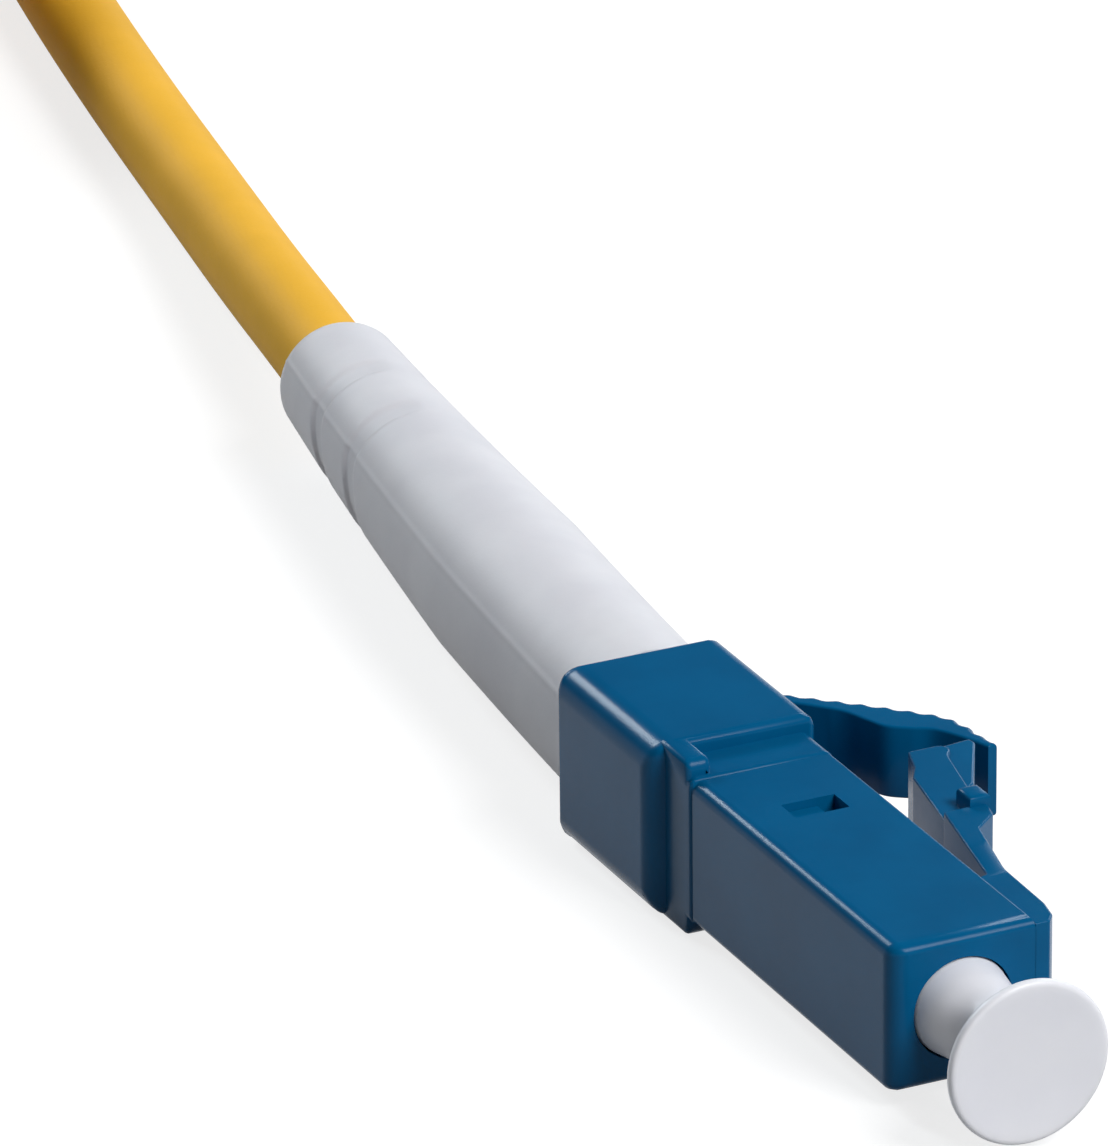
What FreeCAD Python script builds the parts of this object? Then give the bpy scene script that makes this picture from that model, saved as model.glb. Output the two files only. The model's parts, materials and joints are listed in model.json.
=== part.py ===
"""Small-form fibre connector on a 3 mm cable, lying on one flank.

All sizes are millimetres. Every piece is drawn in the plug frame: the plug's axis is X with the nose at
x = 0 and the cable behind it, the latch is on the +Y side and +Z is the upper flank. One placement then
puts every piece in the part's frame, whose origin is on the surface under the middle of the connector.
"""

import FreeCAD, Part
import math
import os

import Sketcher
from FreeCAD import Placement, Rotation, Vector

doc = FreeCAD.newDocument("fibre_connector")
sheet = doc.addObject("Spreadsheet::Sheet", "sizes")

SIZES = [
    # where the part's origin lies
    ("origin_behind_nose", 23.05, "origin to nose face, along the plug"),
    ("origin_to_latch_side", 2.55, "origin to plug axis, towards the latch"),
    # clearances
    ("fit_gap", 0.03, "gap between pieces that slide into each other"),
    ("seam_gap", 0.08, "gap at the root of a flexing arm"),
    # front housing
    ("plug_width", 4.5, "side of the square plug"),
    ("plug_length", 12.45, "nose face to the rear housing's neck"),
    ("plug_round", 0.25, "rounding of the plug's long edges"),
    ("nose_bore", 3.1, "mouth that takes the adapter's sleeve"),
    ("nose_depth", 5.2, "depth of that mouth"),
    ("web_bore", 2.06, "hole in the web behind the mouth"),
    ("web_length", 1.0, "thickness of the web"),
    ("cavity_bore", 3.3, "bore for the spring and the stop body"),
    ("spigot_width", 3.9, "square tail inside the neck"),
    ("spigot_length", 3.1, "length of that tail"),
    ("window_setback", 3.55, "window's front edge ahead of the rear housing's neck"),
    ("window_length", 0.97, "length of the window along the plug"),
    ("window_low", 0.7, "axis to the window's edge away from the latch"),
    ("window_high", 1.0, "axis to the window's edge on the latch side"),
    # latch
    ("latch_width", 4.0, "width of the latch"),
    ("latch_root_height", 3.05, "axis to the top of the latch root at the nose"),
    ("latch_seam", 3.6, "nose face to the latch's flexing root"),
    ("latch_slot", 3.4, "nose face to the end of the slot under the latch"),
    ("latch_nose_round", 0.9, "rounding over the nose of the latch root"),
    ("arm_height", 3.2, "axis to the outside of the arm at its root"),
    ("arm_slope", 0.2346, "rise of the arm for each millimetre"),
    ("arm_depth", 0.56, "thickness of the arm"),
    ("shoulder_foot", 6.47, "nose face to the foot of the shoulder"),
    ("shoulder_run", 0.51, "length of the shoulder's ramp"),
    ("shoulder_rise", 0.72, "height of the shoulder's ramp"),
    ("block_slope", 0.215, "rise of the latch block for each millimetre"),
    ("block_end", 12.1, "nose face to the rear end of the block"),
    ("lip_front", 7.68, "nose face to the lip under the block"),
    ("lip_height", 3.24, "axis to the lip under the block"),
    ("keel_end", 10.5, "nose face to where the underside turns up"),
    ("tail_height", 4.5, "axis to the underside at the block's end"),
    ("fin_width", 3.5, "width of the ramp on the block"),
    ("fin_start", 9.5, "nose face to the foot of the ramp"),
    ("fin_height", 6.4, "axis to the top of the ramp"),
    ("fin_crest", 11.75, "nose face to the top of the ramp"),
    ("lug_front", 7.6, "nose face to the catching lugs"),
    ("lug_length", 0.8, "length of a lug"),
    ("lug_low", 4.15, "axis to the lower side of a lug"),
    ("lug_high", 4.83, "axis to the upper side of a lug"),
    ("lug_reach", 0.4, "how far a lug stands out of the latch"),
    # rear housing
    ("neck_width", 4.6, "side of the rear housing's square neck"),
    ("neck_length", 1.55, "length of the neck"),
    ("rear_length", 6.35, "length of the rear housing behind the neck"),
    ("rear_flank", 2.8, "axis to each flank"),
    ("rear_under", 2.8, "axis to the side away from the latch"),
    ("rear_top", 2.55, "axis to the latch side"),
    ("rear_round", 0.6, "rounding of its long edges"),
    ("rear_lip_round", 0.25, "rounding of its front edge"),
    ("rear_edge_round", 0.25, "rounding of its rear edge"),
    ("rail_width", 0.8, "width of the rails along the neck"),
    ("rail_start", 0.2, "neck's front edge to the rails"),
    ("rear_bore", 4.7, "bore for the crimped sleeve and the boot's neck"),
    ("rear_seat", 0.6, "wall between the neck and that bore"),
    # trigger
    ("trigger_width", 2.3, "width of the trigger"),
    ("trigger_root", 0.4, "rear face to the trigger's root"),
    ("trigger_root_length", 0.6, "thickness of the trigger's root"),
    ("trigger_foot", 0.35, "height of the fixed foot under the root"),
    # ferrule group
    ("ferrule_size", 1.25, "diameter of the ferrule"),
    ("ferrule_tip", 2.0, "ferrule's end face ahead of the nose"),
    ("ferrule_length", 6.5, "length of the ferrule"),
    ("fibre_size", 0.125, "diameter of the glass fibre"),
    ("flange_neck", 1.9, "tube that holds the ferrule"),
    ("flange_grip", 2.0, "depth of the ferrule in that tube"),
    ("flange_hex", 2.75, "width across the flange's flats"),
    ("flange_length", 1.3, "length of the six-sided flange"),
    ("flange_tail", 1.5, "diameter of the tail inside the spring"),
    ("tail_length", 1.6, "length of that tail"),
    ("guide_size", 1.25, "outside of the guide tube"),
    ("guide_gap", 0.25, "end of the guide tube ahead of the rear housing's rear face"),
    ("buffer_size", 0.9, "diameter of the fibre's tight buffer"),
    ("float_travel", 0.8, "how far the ferrule can be pushed back"),
    # spring
    ("spring_size", 2.3, "outside diameter of the spring"),
    ("spring_wire", 0.28, "thickness of its wire"),
    ("spring_turns", 6.0, "number of its turns"),
    # stop body, post and crimp
    ("stop_front", 3.95, "front of the stop body ahead of the neck"),
    ("stop_pocket", 2.6, "bore around the spring"),
    ("stop_floor", 0.15, "spring's seat ahead of the neck"),
    ("stop_collar_length", 0.72, "length of the collar behind the spigot"),
    ("stop_collar", 3.8, "collar behind the spigot"),
    ("tab_depth", 0.25, "snap tab below the plug's flank"),
    ("tab_gap", 0.55, "open part of the window beside the tab"),
    ("post_bore", 1.5, "bore of the crimp post"),
    ("post_size", 2.5, "outside of the crimp post"),
    ("post_grip", 2.3, "length of the crimp post inside the stop body"),
    ("post_overhang", 0.25, "crimp post behind the rear housing"),
    ("yarn_wall", 0.15, "thickness of the trapped aramid yarn"),
    ("sleeve_wall", 0.35, "wall of the crimped sleeve"),
    ("sleeve_gap", 0.3, "stop body to the front of the sleeve"),
    ("sleeve_overhang", 2.25, "sleeve behind the rear housing"),
    # cable and boot
    ("cable_size", 3.0, "diameter of the cable's jacket"),
    ("jacket_bore", 1.7, "inside of the jacket"),
    ("boot_size", 5.47, "diameter of the boot behind the rear housing"),
    ("boot_end_size", 4.06, "diameter of the boot's rear end"),
    ("boot_straight", 11.65, "length of the boot before its taper"),
    ("boot_length", 29.4, "rear housing to the boot's rear end"),
    ("boot_offset", 0.2, "axis to the boot's centre at the rear housing"),
    ("boot_slope", 0.078, "sideways run of the boot at its front, for each millimetre"),
    ("boot_bend", 0.0012, "growth of that run along the boot"),
    ("boot_bore_gap", 0.1, "gap between the cable and the boot's bore"),
    ("boot_pocket", 4.7, "wide bore over the crimped sleeve"),
    ("boot_pocket_length", 2.6, "depth of that wide bore"),
    ("boot_funnel_end", 11.0, "rear housing to where the bore has narrowed"),
    ("boot_neck_length", 1.8, "boot's neck inside the rear housing"),
    ("boot_neck_gap", 0.1, "gap between the sleeve and the boot's neck"),
    # dust cap
    ("cap_size", 4.92, "diameter of the cap's disc"),
    ("cap_face", 3.95, "nose face to the front of the disc"),
    ("cap_rim", 0.45, "thickness of the disc's edge"),
    ("cap_dish", 0.12, "depth of the hollow in the disc"),
    ("cap_stem", 2.95, "diameter of the cap's stem at the nose"),
    ("cap_waist", 2.3, "diameter of the waist behind the disc"),
    ("cap_gap", 0.3, "end of the cap's stem to the ferrule's holder"),
    ("cap_bore_depth", 2.9, "depth of the ferrule's bore past the nose"),
    # hank of the cable that is put away
    ("hank_run", 40.0, "length of the hank's straight runs"),
    ("hank_fold", 10.5, "middle of its two tracks at the half-round ends"),
    ("hank_layers", 4.0, "number of its layers"),
    ("hank_end", 8.0, "middle of the hank to the jacket's cut end"),
    ("end_yarn_length", 5.5, "length of the bare aramid yarn"),
    ("end_buffer_length", 11.0, "length of the bare buffered fibre"),
    ("tie_width", 5.0, "width of a tie"),
    ("tie_wall", 0.4, "thickness of a tie"),
    ("tie_from_middle", 4.0, "middle of the hank to the near side of a tie"),
]


class Size(float):
    """A number that remembers the spreadsheet expression it comes from."""

    def __new__(cls, number, text):
        self = super().__new__(cls, number)
        self.text = text
        return self

    def _with(self, other, sign, number, first=True):
        theirs = other.text if isinstance(other, Size) else repr(float(other))
        text = f"{self.text} {sign} {theirs}" if first else f"{theirs} {sign} {self.text}"
        return Size(number, f"({text})")

    def __add__(self, other):
        return self._with(other, "+", float(self) + float(other))

    def __radd__(self, other):
        return self._with(other, "+", float(other) + float(self), False)

    def __sub__(self, other):
        return self._with(other, "-", float(self) - float(other))

    def __rsub__(self, other):
        return self._with(other, "-", float(other) - float(self), False)

    def __mul__(self, other):
        return self._with(other, "*", float(self) * float(other))

    def __rmul__(self, other):
        return self._with(other, "*", float(other) * float(self), False)

    def __truediv__(self, other):
        return self._with(other, "/", float(self) / float(other))

    def __neg__(self):
        return Size(-float(self), f"(0 - {self.text})")


class Sheet:
    """The driving sizes by name, such as z.plug_width."""

    def __getattr__(self, name):
        return Size(sheet.get(name), f"sizes.{name}")


def fill_sheet():
    for row, (name, value, note) in enumerate(SIZES, start=1):
        sheet.set(f"A{row}", note)
        sheet.set(f"B{row}", str(value))
        sheet.setAlias(f"B{row}", name)
    doc.recompute()


fill_sheet()
z = Sheet()

# Stations along the plug that several pieces share.
HALF_PLUG = z.plug_width / 2
NECK_END = z.plug_length + z.neck_length
REAR_END = NECK_END + z.rear_length
FERRULE_END = z.ferrule_length - z.ferrule_tip
WEB_END = z.nose_depth + z.web_length
FLANGE_END = WEB_END + z.flange_length
WINDOW_FRONT = z.plug_length - z.window_setback
SPIGOT_END = z.plug_length + z.spigot_length
STOP_FRONT = z.plug_length - z.stop_front
STOP_FLOOR = z.plug_length - z.stop_floor
STOP_COLLAR = SPIGOT_END + z.fit_gap
STOP_END = STOP_COLLAR + z.stop_collar_length
POST_FRONT = STOP_END - z.post_grip
GUIDE_END = REAR_END - z.guide_gap
POST_END = REAR_END + z.post_overhang
SLEEVE_FRONT = STOP_END + z.sleeve_gap
SLEEVE_END = REAR_END + z.sleeve_overhang
SLEEVE_BORE = z.post_size + z.yarn_wall * 2
HOLDER_FRONT = FERRULE_END - z.flange_grip
CAP_END = HOLDER_FRONT - z.cap_gap


# ---------------------------------------------------------------- sketches and features

def bind(thing, name, value):
    """Sets a property, and ties it to the sheet if the value comes from there."""
    if isinstance(value, Size):
        thing.setExpression(name, value.text)
    else:
        setattr(thing, name, value)


def new_body(name):
    body = doc.addObject("PartDesign::Body", name)
    body.Label = name
    bind(body, "Placement.Base.x", z.origin_behind_nose)
    bind(body, "Placement.Base.y", -z.origin_to_latch_side)
    bind(body, "Placement.Base.z", z.rear_flank + 0.0)
    return body


def sketch(body, plane, name, at=None):
    """An empty sketch on one of the body's own planes, moved along that plane's normal."""
    flat = body.newObject("Sketcher::SketchObject", f"{body.Label}_{name}")
    flat.AttachmentSupport = [(next(f for f in body.Origin.OriginFeatures if f.Role == plane), "")]
    flat.MapMode = "FlatFace"
    if at is not None:
        bind(flat, "AttachmentOffset.Base.z", at)
    return flat


def hold(flat, edge, end, kind, value):
    """Fixes one coordinate of a point of the sketch."""
    if float(value) == 0.0 and not isinstance(value, Size):
        axis = -2 if kind == "DistanceX" else -1
        flat.addConstraint(Sketcher.Constraint("PointOnObject", edge, end, axis))
        return
    number = flat.addConstraint(Sketcher.Constraint(kind, -1, 1, edge, end, float(value)))
    if isinstance(value, Size):
        flat.setExpression(f"Constraints[{number}]", value.text)


def outline(flat, corners):
    """A closed loop of straight lines through the corners."""
    first = flat.GeometryCount
    count = len(corners)
    points = [Vector(float(a), float(b), 0) for a, b in corners]
    for k in range(count):
        flat.addGeometry(Part.LineSegment(points[k], points[(k + 1) % count]), False)
    for k in range(count):
        flat.addConstraint(Sketcher.Constraint("Coincident", first + k, 2, first + (k + 1) % count, 1))
        hold(flat, first + k, 1, "DistanceX", corners[k][0])
        hold(flat, first + k, 1, "DistanceY", corners[k][1])
    return flat


def square(flat, width):
    half = width / 2
    return outline(flat, [(-half, -half), (half, -half), (half, half), (-half, half)])


def circle(flat, across):
    first = flat.GeometryCount
    flat.addGeometry(Part.Circle(Vector(0, 0, 0), Vector(0, 0, 1), float(across) / 2), False)
    flat.addConstraint(Sketcher.Constraint("Coincident", first, 3, -1, 1))
    number = flat.addConstraint(Sketcher.Constraint("Diameter", first, float(across)))
    if isinstance(across, Size):
        flat.setExpression(f"Constraints[{number}]", across.text)
    return flat


def feature(body, kind, name, profile, length=None, backwards=False, both_ways=False):
    """A Pad or Pocket, or a Revolution or Groove about the sketch's level axis."""
    made = body.newObject(f"PartDesign::{kind}", f"{body.Label}_{name}")
    made.Profile = profile
    if length is None:
        made.ReferenceAxis = (profile, ["H_Axis"])
        made.Angle = 360.0
    else:
        bind(made, "Length", length)
        made.Reversed = backwards
        if both_ways:
            made.SideType = "Symmetric"
    profile.Visibility = False
    body.Tip = made
    doc.recompute()
    return made


def edges_of(shape_owner, wanted):
    return [f"Edge{n}" for n, edge in enumerate(shape_owner.Shape.Edges, start=1) if wanted(edge)]


def soften(body, name, base, wanted, radius, kind="Fillet"):
    """Rounds or bevels the edges that the test picks."""
    made = body.newObject(f"PartDesign::{kind}", f"{body.Label}_{name}")
    made.Base = (base, edges_of(base, wanted))
    bind(made, "Radius" if kind == "Fillet" else "Size", radius)
    body.Tip = made
    doc.recompute()
    return made


def runs_along(edge, axis):
    """Whether a straight edge runs along one axis."""
    if edge.Curve.TypeId != "Part::GeomLine":
        return False
    along = edge.Vertexes[1].Point.sub(edge.Vertexes[0].Point)
    return abs(along.dot(axis)) > 0.999 * along.Length


def middle(edge):
    """Middle of an edge in the plug frame."""
    a, b = edge.Vertexes[0].Point, edge.Vertexes[-1].Point
    return a.add(b).multiply(0.5)


ALONG = Vector(1, 0, 0)
ACROSS = Vector(0, 1, 0)
UP = Vector(0, 0, 1)
NEAR = 0.01


def close(a, b):
    return abs(float(a) - float(b)) < NEAR


def shaped(name, shape):
    """A piece whose shape comes from Part's own functions."""
    made = doc.addObject("Part::Feature", name)
    made.Label = name
    made.Shape = shape
    made.Placement = Placement(
        Vector(z.origin_behind_nose, -z.origin_to_latch_side, z.rear_flank), Rotation()
    ).multiply(shape.Placement)
    return made


def turned(name, rings):
    """A body turned about the plug axis from (distance behind the nose, diameter) stations."""
    body = new_body(name)
    profile = sketch(body, "XY_Plane", "profile")
    outline(profile, [(-behind, across / 2) for behind, across in rings])
    feature(body, "Revolution", "turned", profile)
    return body


def tube(name, front, end, outside, inside):
    return turned(name, [(front, inside), (front, outside), (end, outside), (end, inside)])


# ---------------------------------------------------------------- front housing and latch

def front_housing():
    body = new_body("front_housing")
    plug = feature(body, "Pad", "plug", square(sketch(body, "YZ_Plane", "section"), z.plug_width),
                   z.plug_length, backwards=True)
    plug = soften(body, "edges", plug, lambda e: runs_along(e, ALONG), z.plug_round)
    half = z.latch_width / 2
    root = sketch(body, "XY_Plane", "root")
    slot_top = z.arm_height + (z.latch_slot - z.latch_seam) * z.arm_slope - z.arm_depth
    outline(root, [
        (0, HALF_PLUG - z.plug_round),
        (0, z.latch_root_height),
        (-z.latch_seam, z.arm_height),
        (-z.latch_seam, z.arm_height - z.arm_depth),
        (-z.latch_slot, slot_top),
        (-z.latch_slot, HALF_PLUG - z.plug_round),
    ])
    ridge = feature(body, "Pad", "latch_root", root, z.latch_width, both_ways=True)
    ridge = soften(
        body, "root_front", ridge,
        lambda e: runs_along(e, UP) and close(middle(e).x, 0) and close(middle(e).y, z.latch_root_height),
        z.latch_nose_round)
    tail = sketch(body, "YZ_Plane", "tail", -z.plug_length)
    feature(body, "Pad", "spigot", square(tail, z.spigot_width), z.spigot_length, backwards=True)
    inside = sketch(body, "XY_Plane", "inside")
    outline(inside, [
        (0, 0),
        (0, z.nose_bore / 2),
        (-z.nose_depth, z.nose_bore / 2),
        (-z.nose_depth, z.web_bore / 2),
        (-WEB_END, z.web_bore / 2),
        (-WEB_END, z.cavity_bore / 2),
        (-SPIGOT_END, z.cavity_bore / 2),
        (-SPIGOT_END, 0),
    ])
    feature(body, "Groove", "cavity", inside)
    window = sketch(body, "XY_Plane", "window")
    outline(window, [
        (-WINDOW_FRONT, -z.window_low),
        (-WINDOW_FRONT, z.window_high),
        (-(WINDOW_FRONT + z.window_length), z.window_high),
        (-(WINDOW_FRONT + z.window_length), -z.window_low),
    ])
    feature(body, "Pocket", "windows", window, z.plug_width * 2, both_ways=True)
    return body


def latch_arm():
    """The sprung arm: a thin strip, a shouldered block with catching lugs, and a ramp for the trigger."""
    body = new_body("latch_arm")
    start = z.latch_seam + z.seam_gap

    def arm_top(behind):
        return z.arm_height + (behind - z.latch_seam) * z.arm_slope

    def block_top(behind):
        return arm_top(z.shoulder_foot) + z.shoulder_rise + (behind - z.shoulder_foot - z.shoulder_run) * z.block_slope

    strip = sketch(body, "XY_Plane", "strip")
    outline(strip, [
        (-start, arm_top(start)),
        (-z.shoulder_foot, arm_top(z.shoulder_foot)),
        (-(z.shoulder_foot + z.shoulder_run), block_top(z.shoulder_foot + z.shoulder_run)),
        (-z.block_end, block_top(z.block_end)),
        (-z.block_end, z.tail_height),
        (-z.keel_end, z.lip_height + (z.keel_end - z.lip_front) * z.block_slope),
        (-z.lip_front, z.lip_height),
        (-(z.lip_front + z.shoulder_run), arm_top(z.lip_front + z.shoulder_run) - z.arm_depth),
        (-start, arm_top(start) - z.arm_depth),
    ])
    feature(body, "Pad", "arm", strip, z.latch_width, both_ways=True)
    ramp = sketch(body, "XY_Plane", "ramp")
    outline(ramp, [
        (-z.fin_start, block_top(z.fin_start)),
        (-z.fin_crest, z.fin_height),
        (-z.block_end, z.fin_height - (z.block_end - z.fin_crest)),
        (-z.block_end, block_top(z.block_end) - z.arm_depth),
        (-z.fin_start, block_top(z.fin_start) - z.arm_depth),
    ])
    feature(body, "Pad", "fin", ramp, z.fin_width, both_ways=True)
    lug = sketch(body, "XY_Plane", "lug")
    outline(lug, [
        (-z.lug_front, z.lug_low),
        (-z.lug_front, z.lug_high),
        (-(z.lug_front + z.lug_length), z.lug_high),
        (-(z.lug_front + z.lug_length), z.lug_low),
    ])
    feature(body, "Pad", "lugs", lug, z.latch_width + z.lug_reach * 2, both_ways=True)
    return body


# ---------------------------------------------------------------- rear housing and trigger

def rear_housing():
    body = new_body("rear_housing")
    section = sketch(body, "YZ_Plane", "section", -NECK_END)
    outline(section, [
        (-z.rear_under, -z.rear_flank),
        (z.rear_top, -z.rear_flank),
        (z.rear_top, z.rear_flank),
        (-z.rear_under, z.rear_flank),
    ])
    shell = feature(body, "Pad", "shell", section, z.rear_length, backwards=True)
    shell = soften(body, "long_edges", shell, lambda e: runs_along(e, ALONG), z.rear_round)
    shell = soften(body, "front_edge", shell,
                   lambda e: close(middle(e).x, -NECK_END) and runs_along(e, ACROSS), z.rear_lip_round)
    soften(body, "rear_edge", shell, lambda e: all(close(v.X, -REAR_END) for v in e.Vertexes), z.rear_edge_round)
    neck = sketch(body, "YZ_Plane", "neck", -(NECK_END + z.rear_lip_round))
    feature(body, "Pad", "neck", square(neck, z.neck_width), z.neck_length + z.rear_lip_round)
    rail = sketch(body, "YZ_Plane", "rail", -(NECK_END + z.rear_lip_round))
    low = -z.neck_width / 2
    high = low + z.rail_width
    for side in (1.0, -1.0):
        outline(rail, [
            (low, side * (z.neck_width / 2 - z.plug_round)),
            (high, side * (z.neck_width / 2 - z.plug_round)),
            (high, side * z.rear_flank),
            (low, side * z.rear_flank),
        ])
    feature(body, "Pad", "rails", rail, z.neck_length + z.rear_lip_round - z.rail_start)
    foot = sketch(body, "XY_Plane", "foot")
    root = REAR_END - z.trigger_root
    front = root - z.trigger_root_length
    outline(foot, [
        (-REAR_END, z.rear_top - z.rear_round),
        (-REAR_END, z.rear_top),
        (-root, z.rear_top + z.trigger_foot),
        (-front, z.rear_top + z.trigger_foot),
        (-(front - z.trigger_foot), z.rear_top),
        (-(front - z.trigger_foot), z.rear_top - z.rear_round),
    ])
    feature(body, "Pad", "trigger_foot", foot, z.trigger_width, both_ways=True)
    socket = sketch(body, "YZ_Plane", "socket", -z.plug_length)
    feature(body, "Pocket", "socket", square(socket, z.spigot_width + z.fit_gap * 2),
            z.spigot_length + z.fit_gap)
    inside = sketch(body, "XY_Plane", "inside")
    wide = SPIGOT_END + z.rear_seat
    outline(inside, [
        (-z.plug_length, 0),
        (-z.plug_length, z.stop_collar / 2 + z.fit_gap),
        (-wide, z.stop_collar / 2 + z.fit_gap),
        (-wide, z.rear_bore / 2),
        (-REAR_END, z.rear_bore / 2),
        (-REAR_END, 0),
    ])
    feature(body, "Groove", "bore", inside)
    return body


# Side of the trigger: distance ahead of its root's rear corner, and height above the root, in pairs.
TRIGGER_INSIDE = [(2.75, 1.97), (4.2, 2.52), (5.15, 3.82), (6.95, 4.62)]
TRIGGER_OUTSIDE = [(7.0, 4.92), (5.65, 4.77), (4.65, 4.5), (3.4, 3.36)]


def trigger():
    """The curved arm that springs up from the rear housing and reaches over the latch."""
    body = new_body("trigger")
    side = sketch(body, "XY_Plane", "side")
    base = z.rear_top + z.trigger_foot + z.seam_gap
    root = REAR_END - z.trigger_root
    corners = [(-root, base), (-(root - z.trigger_root_length), base)]
    for ahead, above in TRIGGER_INSIDE + TRIGGER_OUTSIDE:
        corners.append((-(root - ahead), base + above))
    outline(side, corners)
    feature(body, "Pad", "arm", side, z.trigger_width, both_ways=True)
    return body


# ---------------------------------------------------------------- pieces on the plug axis

def dust_cap():
    waist = (z.cap_face - z.cap_rim) * 0.5
    bore = z.ferrule_size + z.fit_gap * 2
    return turned("dust_cap", [
        (CAP_END, bore),
        (CAP_END, z.cap_stem - z.fit_gap * 2),
        (0, z.cap_stem),
        (-waist, z.cap_waist),
        (-(z.cap_face - z.cap_rim), z.cap_size - z.cap_rim),
        (-(z.cap_face - z.cap_rim / 2), z.cap_size),
        (-z.cap_face, z.cap_size - z.cap_rim),
        (-(z.cap_face - z.cap_dish), 0),
        (-z.cap_bore_depth, 0),
        (-z.cap_bore_depth, bore),
    ])


def ferrule():
    return tube("ferrule", -z.ferrule_tip, FERRULE_END, z.ferrule_size, z.fibre_size)


def fibre_stub():
    body = new_body("fibre_stub")
    section = sketch(body, "YZ_Plane", "section", z.ferrule_tip)
    feature(body, "Pad", "glass", circle(section, z.fibre_size), z.ferrule_tip + FLANGE_END, backwards=True)
    return body


def ferrule_flange():
    body = turned("ferrule_flange", [
        (HOLDER_FRONT, z.ferrule_size),
        (HOLDER_FRONT, z.flange_neck),
        (WEB_END, z.flange_neck),
        (WEB_END, z.flange_hex),
        (FLANGE_END, z.flange_hex),
        (FLANGE_END, z.flange_tail),
        (FLANGE_END + z.tail_length, z.flange_tail),
        (FLANGE_END + z.tail_length, z.buffer_size),
        (FLANGE_END, z.buffer_size),
        (FLANGE_END, z.fibre_size),
        (FERRULE_END, z.fibre_size),
        (FERRULE_END, z.ferrule_size),
    ])
    return body


def tight_buffer():
    start = FLANGE_END
    end = GUIDE_END
    body = new_body("tight_buffer")
    section = sketch(body, "YZ_Plane", "section", -start)
    feature(body, "Pad", "buffer", circle(section, z.buffer_size), end - start, backwards=True)
    return body


def guide_tube():
    front = FLANGE_END + z.tail_length
    return tube("guide_tube", front, GUIDE_END, z.guide_size, z.buffer_size)


def spring():
    """A helical wire between the flange and the stop body's seat."""
    wire = float(z.spring_wire)
    length = float(STOP_FLOOR - FLANGE_END) - wire
    radius = (float(z.spring_size) - wire) / 2
    helix = Part.makeHelix(length / float(z.spring_turns), length, radius)
    corners = [Vector(radius + wire / 2 * math.cos(math.pi * k / 3), 0, wire / 2 * math.sin(math.pi * k / 3))
               for k in range(6)]
    section = Part.makePolygon(corners + corners[:1])
    coil = Part.Wire(helix.Edges).makePipeShell([section], True, True)
    coil.rotate(Vector(0, 0, 0), Vector(0, 1, 0), -90)
    coil.translate(Vector(-FLANGE_END - wire / 2, 0, 0))
    return shaped("spring", coil)


def stop_body():
    """Holds the spring in the plug: its tabs snap into the plug's windows."""
    body = turned("stop_body", [
        (STOP_FRONT, z.stop_pocket),
        (STOP_FRONT, z.cavity_bore - z.fit_gap * 2),
        (STOP_COLLAR, z.cavity_bore - z.fit_gap * 2),
        (STOP_COLLAR, z.stop_collar),
        (STOP_END, z.stop_collar),
        (STOP_END, z.post_size),
        (POST_FRONT, z.post_size),
        (POST_FRONT, z.post_bore),
        (STOP_FLOOR, z.post_bore),
        (STOP_FLOOR, z.stop_pocket),
    ])
    tab = sketch(body, "XY_Plane", "tab")
    outline(tab, [
        (-(WINDOW_FRONT + z.fit_gap), -(z.window_low - z.fit_gap)),
        (-(WINDOW_FRONT + z.fit_gap), z.window_high - z.tab_gap),
        (-(WINDOW_FRONT + z.window_length - z.fit_gap), z.window_high - z.tab_gap),
        (-(WINDOW_FRONT + z.window_length - z.fit_gap), -(z.window_low - z.fit_gap)),
    ])
    feature(body, "Pad", "tabs", tab, z.plug_width - z.tab_depth * 2, both_ways=True)
    hollow = sketch(body, "XY_Plane", "hollow")
    outline(hollow, [
        (-STOP_FRONT, 0),
        (-STOP_FRONT, z.stop_pocket / 2),
        (-STOP_FLOOR, z.stop_pocket / 2),
        (-STOP_FLOOR, 0),
    ])
    feature(body, "Groove", "pocket", hollow)
    return body


def crimp_post():
    return tube("crimp_post", POST_FRONT, POST_END, z.post_size, z.post_bore)


def aramid_yarn():
    return tube("aramid_yarn", SLEEVE_FRONT, POST_END, SLEEVE_BORE, z.post_size)


def crimp_sleeve():
    inside = SLEEVE_BORE
    return turned("crimp_sleeve", [
        (SLEEVE_FRONT, inside),
        (SLEEVE_FRONT, inside + z.sleeve_wall * 2),
        (POST_END, inside + z.sleeve_wall * 2),
        (POST_END + z.sleeve_wall, z.cable_size + z.sleeve_wall * 2),
        (SLEEVE_END, z.cable_size + z.sleeve_wall * 2),
        (SLEEVE_END, z.cable_size),
        (POST_END + z.sleeve_wall, z.cable_size),
        (POST_END, inside),
    ])


# ---------------------------------------------------------------- boot and cable

def boot_point(along):
    """Centre of the boot, and its direction, at a distance behind the rear housing."""
    side = z.boot_offset + z.boot_slope * along + z.boot_bend * along ** 2
    slope = z.boot_slope + 2 * z.boot_bend * along
    point = Vector(-(REAR_END + along), side, 0)
    return point, Vector(-1, slope, 0).normalize()


def boot_across(along):
    """Outside diameter of the boot at a distance behind the rear housing."""
    past = max(0.0, along - z.boot_straight)
    return z.boot_size - (z.boot_size - z.boot_end_size) * past / (z.boot_length - z.boot_straight)


def lofted(stations):
    """A solid through round sections along the boot: (distance, diameter) pairs."""
    rings = []
    for along, across in stations:
        point, heading = boot_point(along)
        rings.append(Part.Wire([Part.makeCircle(float(across) / 2, point, heading)]))
    return Part.makeLoft(rings, True, True)


def spaced(start, end, count):
    return [start + (end - start) * k / (count - 1) for k in range(count)]


# The cable's centre line, as distances behind the rear housing, to the latch side and up.
# First inside the boot, from the crimped sleeve to near the boot's rear end.
JACKET_ROUTE = [
    (0.6, 0.0, 0.0), (4.6, 0.0, 0.0), (12.4, 0.97, 0.0), (26.55, 3.117, 0.0),
]

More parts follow.
